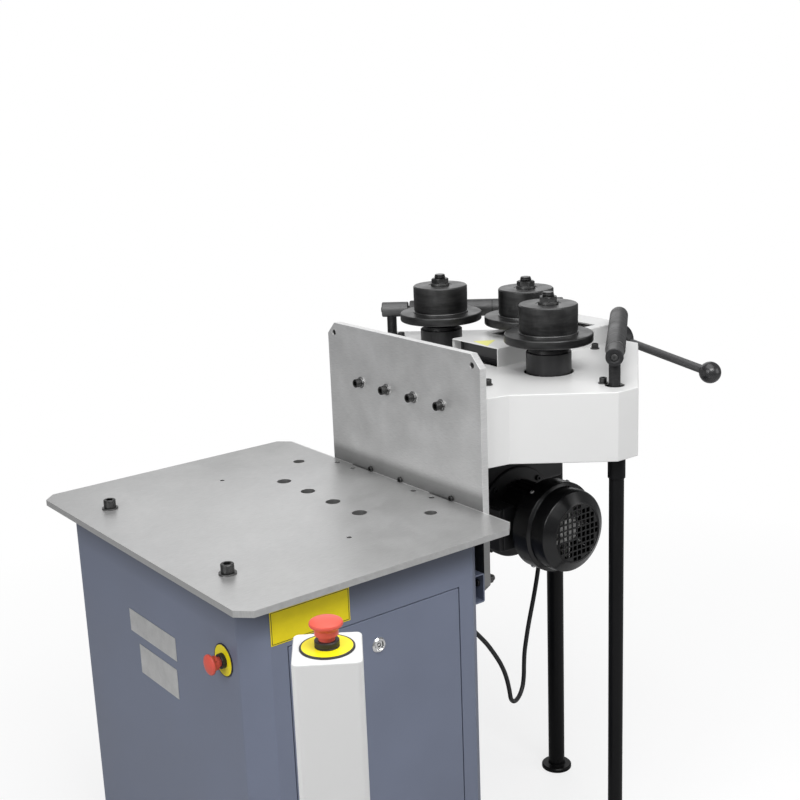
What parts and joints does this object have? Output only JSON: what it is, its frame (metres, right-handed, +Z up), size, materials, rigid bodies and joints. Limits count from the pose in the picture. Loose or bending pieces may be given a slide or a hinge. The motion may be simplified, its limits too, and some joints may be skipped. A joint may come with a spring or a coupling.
{
  "type": "three-roll profile bending machine",
  "caption": "Horizontal roll bender with an upright mounting plate, steel work table on a control cabinet, leg tubes and a separate stop post.",
  "frame": {"origin": "floor, under the middle of the whole machine's outline including the stop post", "axes": "+Z up, +X from the work table to the bending head, +Y along the table away from the stop post"},
  "size_m": [1.6436, 1.5356, 1.202],
  "materials": {
    "cabinet_paint": "semi-gloss blue-grey paint",
    "ground_steel": "ground plate steel",
    "white_paint": "smooth white powder coat",
    "lock_chrome": "polished",
    "black_bolts": "blackened",
    "black_steel": "satin black",
    "dark_steel": "blackened turned steel",
    "inner_steel": "machined, dark",
    "screw_steel": "bright thread",
    "cast_black": "black painted casting",
    "cowl_black": "gloss black sheet",
    "cable_rubber": "matt black",
    "stop_red": "moulded",
    "stop_yellow": "moulded",
    "readout_black": "dark window"
  },
  "bodies": {
    "machine": {"cabinet": "cabinet_paint", "access_panel": "cabinet_paint", "panel_lock": "lock_chrome", "cabinet_feet": "black_bolts", "table_plate": "ground_steel", "table_bolts": "black_bolts", "upright_plate": "ground_steel", "upright_rail": "cabinet_paint", "upright_screws": "black_bolts", "rail_bolts": "black_bolts", "cabinet_stop_base": "stop_yellow", "control_post": "white_paint", "post_stop_base": "stop_yellow", "head_base": "inner_steel", "head_cover": "white_paint", "readout": "readout_black", "cover_screws": "black_bolts", "shaft_housings": "black_steel", "near_guide_post": "black_steel", "far_guide_post": "black_steel", "gearbox": "cast_black", "motor": "cast_black", "motor_cowl": "cowl_black", "terminal_box": "cowl_black", "motor_cable": "cable_rubber", "cable_glands": "cable_rubber", "near_leg": "black_steel", "far_leg": "black_steel", "rear_leg": "black_steel"},
    "near_spin": {"near_spindle": "dark_steel", "near_flange": "dark_steel", "near_roller": "dark_steel"},
    "far_spin": {"far_spindle": "dark_steel", "far_flange": "dark_steel", "far_roller": "dark_steel"},
    "carriage": {"press_carriage": "inner_steel"},
    "press_spin": {"press_spindle": "dark_steel", "press_flange": "dark_steel", "press_roller": "dark_steel"},
    "lever": {"press_screw": "screw_steel", "press_lever": "dark_steel"},
    "near_guide": {"near_guide_roller": "dark_steel"},
    "far_guide": {"far_guide_roller": "dark_steel"},
    "cabinet_stop": {"cabinet_stop_button": "stop_red"},
    "post_stop": {"post_stop_button": "stop_red"}
  },
  "joints": [
    {"name": "near_spindle_turn", "type": "hinge", "parent": "machine", "child": "near_spin", "pos_m": [0.40026, 0.16176, 1.1], "axis": [0, 0, 1], "continuous": true},
    {"name": "far_spindle_turn", "type": "hinge", "parent": "machine", "child": "far_spin", "pos_m": [0.40026, 0.50776, 1.1], "axis": [0, 0, 1], "continuous": true},
    {"name": "carriage_slide", "type": "slide", "parent": "machine", "child": "carriage", "axis": [1, 0, 0], "range_m": [-0.005, 0.107]},
    {"name": "press_spindle_turn", "type": "hinge", "parent": "carriage", "child": "press_spin", "pos_m": [0.49926, 0.33476, 1.1], "axis": [0, 0, 1], "continuous": true},
    {"name": "lever_turn", "type": "hinge", "parent": "carriage", "child": "lever", "pos_m": [0.79776, 0.33476, 1.017], "axis": [1, 0, 0], "range_deg": [-144, 3816]},
    {"name": "near_guide_turn", "type": "hinge", "parent": "machine", "child": "near_guide", "pos_m": [0.40676, -0.01524, 1.097], "axis": [0.7431, 0.6691, 0], "continuous": true},
    {"name": "far_guide_turn", "type": "hinge", "parent": "machine", "child": "far_guide", "pos_m": [0.40676, 0.70076, 1.097], "axis": [0.7431, -0.6691, 0], "continuous": true},
    {"name": "cabinet_stop_push", "type": "slide", "parent": "machine", "child": "cabinet_stop", "axis": [1, 0, 0], "range_m": [0, 0.004]},
    {"name": "post_stop_push", "type": "slide", "parent": "machine", "child": "post_stop", "axis": [0, 0, -1], "range_m": [0, 0.004]}
  ],
  "couplings": [
    {"joint": "far_spindle_turn", "follows": "near_spindle_turn", "ratio": 1},
    {"joint": "carriage_slide", "follows": "lever_turn", "m_per_rad": 0.0015915}
  ]
}
